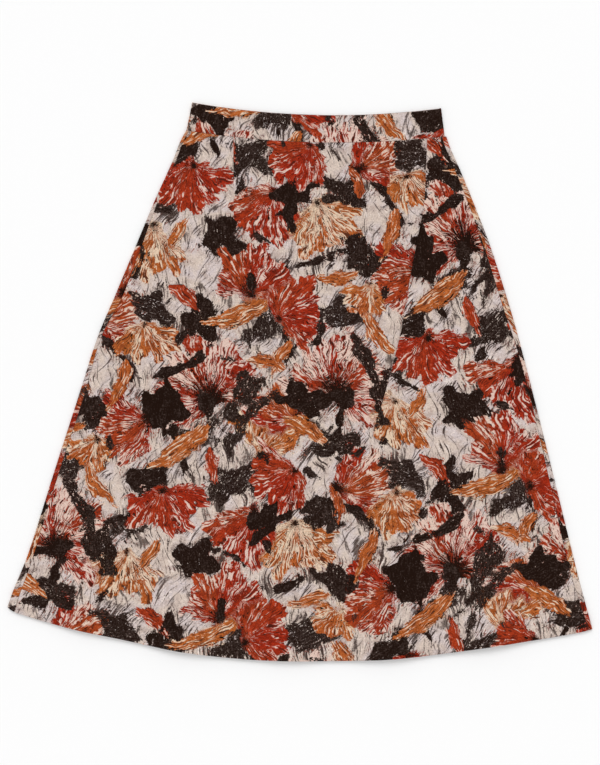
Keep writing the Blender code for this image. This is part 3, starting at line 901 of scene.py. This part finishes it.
def ink_coat(graph, name, place, under):
    """A pass of charcoal, full in the middle of each patch and dry and specked at its edges."""
    depth, _, solid = graph.parts(name + "_shape")
    flow = graph.curved(graph.stored(name + "_flow"), place, 48, 4.5)
    brush = graph.noise(flow, 0.7, 3, 0.7)
    fleck = graph.noise(flow, 1.25, 1, 0.6)
    blot = graph.noise(place, 85, 2)
    grit = graph.noise(place, 430, 2, 0.6)
    depth = graph.add(depth, (graph.noise(place, 44, 1), 9), -1.3)
    fullness = graph.times(depth, graph.math("MULTIPLY_ADD", solid, 0.3, 0))
    fullness = graph.math("MINIMUM", fullness, graph.math("MULTIPLY_ADD", solid, 0.6, 0.14))
    dry = graph.add((brush, 0.6), (fleck, 0.5), (blot, 0.6))
    mask = graph.step(-0.02, 0.16, fullness, dry, (grit, 0.8))
    thin = graph.add(brush, (fleck, 0.6), (grit, 0.5), (blot, 0.4))
    bare = graph.times(graph.step(0.34, 0.62, thin, graph.times(solid, -0.8)), 0.75)
    mask = graph.times(mask, graph.math("SUBTRACT", 1, bare))
    tone = graph.add((fleck, 0.5), (grit, 0.9), (blot, 0.4))
    tone = graph.add(tone, graph.math("MULTIPLY_ADD", solid, -0.4, 0.4))
    return graph.mix(mask, under, graph.lay("charcoal", "charcoal_soft", -0.1, 0.8, tone))


def finish_cloth(graph, colour, place, grain):
    """The pebbly face and dull sheen of crepe, and fine grain in its colour."""
    pebble = graph.noise(place, 1500, 3, 0.65)
    yarn = graph.noise(place, 420, 2, 0.5)
    bump = graph.node("Bump")
    bump.inputs["Strength"].default_value = 0.35
    bump.inputs["Distance"].default_value = 0.0003
    graph.feed(bump.inputs["Height"], graph.add(pebble, (yarn, 0.8)))
    graph.feed(graph.shader.inputs["Normal"], bump.outputs[0])
    fine = graph.noise(place, 450, 2, 0.6, 0.25)
    value = graph.math("MULTIPLY_ADD", fine, grain, 1 - grain / 2)
    scaled = graph.node("VectorMath", colour, operation="SCALE")
    graph.feed(scaled.inputs["Scale"], value)
    graph.feed(graph.shader.inputs["Base Color"], scaled.outputs[0])
    return graph.finish(Roughness=0.85, Specular_IOR_Level=0.05, Sheen_Weight=0.02, Sheen_Roughness=0.5)


def printed_crepe(graph, place):
    """The right side of the cloth."""
    near_ink = graph.step(-14, 1, graph.parts("ink_low_shape")[0])
    colour = ground_coat(graph, place, graph.times(near_ink, 0.25))
    colour = bloom_coat(graph, "bloom_low", place, colour)
    colour = ink_coat(graph, "ink_low", place, colour)
    colour = bloom_coat(graph, "bloom_top", place, colour)
    colour = ink_coat(graph, "ink_top", place, colour)
    return finish_cloth(graph, colour, place, 0.4)


def crepe_wrong_side(graph, place):
    """The wrong side: the ground, with the print showing through faintly."""
    through = graph.add(graph.parts("ink_low_shape")[0], (graph.noise(place, 80), 9))
    return finish_cloth(graph, graph.lay("wrong_side", "wrong_side_shade", -4, 8, through), place, 0.3)


def cloth_materials():
    """The right and the wrong side, made once."""
    for make in (printed_crepe, crepe_wrong_side):
        material = bpy.data.materials.get(make.__name__)
        if not material:
            graph = Graph(make.__name__)
            material = make(graph, graph.stored("cloth_place"))
        yield material


# ---- settings ----
def linear(channel):
    """A share of a colour as shown on a screen, as Blender's linear one."""
    return channel / 12.92 if channel <= 0.04045 else ((channel + 0.055) / 1.055) ** 2.4


def colour(name, description, *screen):
    """A colour to change. The last three are its red, green and blue, 0 to 255."""
    default = [linear(channel / 255) for channel in screen]
    return bpy.props.FloatVectorProperty(
        name=name, description=description, default=default, subtype="COLOR", min=0, max=1
    )


def number(name, description, default, **limits):
    """A number to change."""
    return bpy.props.FloatProperty(name=name, description=description, default=default, **limits)


class SKIRT_PG_print(bpy.types.PropertyGroup):
    """Colours of the printed crepe."""

    ground: colour("Ground", "Pale ground of the print", 212, 194, 181)
    ground_cool: colour("Ground cool", "Cooler patches of the ground", 208, 194, 192)
    ground_light: colour("Ground light", "Lightest strokes on the ground", 230, 215, 206)
    ground_shade: colour("Ground shade", "Darker patches of the ground", 182, 163, 154)
    wash: colour("Wash", "Grey smears on the ground", 124, 108, 104)
    wash_warm: colour("Warm wash", "Smears beside the blooms", 148, 78, 58)
    charcoal: colour("Charcoal", "Darkest ink", 29, 14, 7)
    charcoal_soft: colour("Soft charcoal", "Dry ink and specks", 70, 56, 51)
    red: colour("Red", "Brick red of the blooms", 174, 49, 22)
    red_deep: colour("Deep red", "Red where the paint lies thick", 114, 28, 14)
    red_dark: colour("Dark red", "Thin dark streaks in the red", 76, 28, 18)
    orange: colour("Orange", "Orange of the blooms and leaves", 194, 108, 50)
    orange_deep: colour("Deep orange", "Orange where the paint lies thick", 138, 68, 32)
    brown: colour("Brown", "Thin dark streaks in the orange", 86, 46, 28)
    pink: colour("Pink white", "Light streaks in the red", 219, 190, 177)
    cream: colour("Cream", "Light streaks in the orange", 220, 194, 168)
    wrong_side: colour("Wrong side", "Inside of the cloth", 178, 158, 150)
    wrong_side_shade: colour("Wrong side shade", "Print showing through", 140, 118, 110)


class SKIRT_PG_stage(bpy.types.PropertyGroup):
    """Floor, light and camera."""

    floor: colour("Floor", "Colour of the floor", 250, 250, 250)
    sky: number("Sky", "Even light from all round", 0.81, min=0)
    sun: number("Sun", "Soft light from the waist", 0.9, min=0)
    lens: number("Lens", "Focal length in mm", 85, min=20)
    view_height: number("View", "Height of what the camera sees", 1.0437, min=0.1, unit="LENGTH")
    turn: number("Turn", "Turn of the camera over the skirt", math.radians(2), subtype="ANGLE")


# ---- operators ----
Cut = namedtuple("Cut", "slot flat area rests_on print_start")
CUTS = {  # the area is given where the sheet is no rectangle
    "front_panel": Cut("skirt_cloth", (0.800, 0.730), 0.425, ["back_panel"], (0.048, 0.088)),
    "back_panel": Cut("skirt_cloth", (0.830, 0.730), 0.440, [], (0.050, 0.310)),
    "waistband_front": Cut("waistband_cloth", (0.348, 0.038), None, ["waistband_back"], (0.040, 0.240)),
    "waistband_back": Cut("waistband_cloth", (0.351, 0.038), None, [], (0.260, 0.150)),
}


def dress(node, x, y, z, across, thickness, border=None):
    """Makes a node's printed shell from its section, and puts it in the node's place."""
    cut = CUTS[node]
    if border is None:
        border = border_distance(x, y, z)
    piece = shell(node + "_cloth", x, y, z, thickness, border)
    add_print(piece, across, y, cut.print_start)
    for material in cloth_materials():
        piece.data.materials.append(material)
    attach(piece, "root")
    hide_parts(node)
    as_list(cut.rests_on)


class SKIRT_OT_front_panel(bpy.types.Operator):
    """Make the front panel, with its darts and the lapped fold"""

    bl_idname = "skirt.front_panel"
    bl_label = "Front panel"

    def execute(self, context):
        v = panel_rows()
        dress("front_panel", *front_section(v), cloth_at(v)[:, None])
        return {"FINISHED"}


class SKIRT_OT_back_panel(bpy.types.Operator):
    """Make the back panel, which rolls round both sides to the front"""

    bl_idname = "skirt.back_panel"
    bl_label = "Back panel"

    def execute(self, context):
        v = panel_rows()
        *section, border = back_section(v)
        dress("back_panel", *section, cloth_at(v)[:, None], border)
        return {"FINISHED"}


class SKIRT_OT_waistband(bpy.types.Operator):
    """Make the front and the back waistband"""

    bl_idname = "skirt.waistband"
    bl_label = "Waistband"

    def execute(self, context):
        offsets = np.array(EDGE_OFFSETS) / BAND_DEPTH
        foot = 1 - BAND_GAP / BAND_DEPTH
        rows = np.linspace(offsets[-1], foot - offsets[-1], BAND_ROWS)
        share = np.concatenate((offsets[:-1], rows, foot - offsets[-2::-1]))
        x, y, z, origin = band_section(share, 1, BAND_BACK_FILL)
        dress("waistband_back", x, y, z, path_length(x, z, origin), BAND_CLOTH)
        top = BAND_FRONT_SET / BAND_DEPTH
        x, y, z, origin = band_section(top + share * (1 - top), -1, BAND_FRONT_FILL)
        z += seam_rise("band", y - y[-1:], x, 1.1) - BAND_TOP_ROLL * ramp(y - y[:1], -0.004, 0)
        z += BAND_RIPPLE * np.sin(x * 71 + 1) * np.sin(x * 27 + y * 90)
        dress("waistband_front", x, y, z, path_length(x, z, origin), BAND_CLOTH)
        return {"FINISHED"}


FLOOR_HALF = 20
FLOOR_DROP = 0.0002  # how far the floor lies below the skirt
SUN_SIZE = math.radians(30)
SUN_TILT = (math.radians(-38), math.radians(-12), 0)
VIEW_MIDDLE = (-0.0124, 0.0002)
VIEW_LEVEL = 0.004  # the height at which the view is as high as its setting says
SENSOR_WIDTH = 36


class SKIRT_OT_stage(bpy.types.Operator):
    """Make the floor, the light and the camera"""

    bl_idname = "skirt.stage"
    bl_label = "Stage"

    def execute(self, context):
        settings = context.scene.skirt_stage
        self.make_floor(settings)
        self.make_light(context.scene, settings)
        self.make_camera(context.scene, settings)
        context.scene.view_settings.view_transform = "Standard"
        return {"FINISHED"}

    def make_floor(self, settings):
        mesh = bpy.data.meshes.new("floor")
        corners = ((-1, -1), (1, -1), (1, 1), (-1, 1))
        points = [(x * FLOOR_HALF, y * FLOOR_HALF, -FLOOR_DROP) for x, y in corners]
        mesh.from_pydata(points, [], [(0, 1, 2, 3)])
        mesh.materials.append(Graph("floor").finish(Base_Color=(*settings.floor, 1), Roughness=0.9))
        add_object("floor", mesh)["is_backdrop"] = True

    def make_light(self, scene, settings):
        world = bpy.data.worlds.new("studio")
        world.use_nodes = True
        background = world.node_tree.nodes["Background"]
        background.inputs["Color"].default_value = (1, 1, 1, 1)
        background.inputs["Strength"].default_value = settings.sky
        scene.world = world
        light = bpy.data.lights.new("window", "SUN")
        light.energy = settings.sun
        light.angle = SUN_SIZE
        add_object("window", light).rotation_euler = SUN_TILT

    def make_camera(self, scene, settings):
        data = bpy.data.cameras.new("camera")
        data.lens = settings.lens
        data.sensor_width = SENSOR_WIDTH
        height = settings.view_height * settings.lens / SENSOR_WIDTH
        camera = add_object("camera", data)
        camera.location = (*VIEW_MIDDLE, height + VIEW_LEVEL)
        camera.rotation_euler = (0, 0, settings.turn)
        scene.camera = camera


class SKIRT_PT_looks(bpy.types.Panel):
    """The skirt's pieces and stage"""

    bl_idname = "SKIRT_PT_looks"
    bl_label = "A-line skirt"
    bl_space_type = "VIEW_3D"
    bl_region_type = "UI"
    bl_category = "Skirt"

    def draw(self, context):
        layout = self.layout
        for operator in OPERATORS:
            layout.operator(operator.bl_idname)
        for settings in (context.scene.skirt_print, context.scene.skirt_stage):
            box = layout.box()
            for name in settings.__annotations__:
                box.prop(settings, name)


OPERATORS = (SKIRT_OT_back_panel, SKIRT_OT_front_panel, SKIRT_OT_waistband, SKIRT_OT_stage)
CLASSES = (SKIRT_PG_print, SKIRT_PG_stage, *OPERATORS, SKIRT_PT_looks)


def register():
    for cls in CLASSES:
        bpy.utils.register_class(cls)
    bpy.types.Scene.skirt_print = bpy.props.PointerProperty(type=SKIRT_PG_print)
    bpy.types.Scene.skirt_stage = bpy.props.PointerProperty(type=SKIRT_PG_stage)


def unregister():
    del bpy.types.Scene.skirt_stage
    del bpy.types.Scene.skirt_print
    for cls in reversed(CLASSES):
        bpy.utils.unregister_class(cls)


def main():
    register()
    bpy.ops.skirt.back_panel()
    bpy.ops.skirt.front_panel()
    bpy.ops.skirt.waistband()
    bpy.ops.skirt.stage()
    boxes = {"cad": CAD_BOX, "visual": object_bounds()}
    {name: [list(corner) for corner in box] for name, box in boxes.items()}


if __name__ == "__main__":
    main()
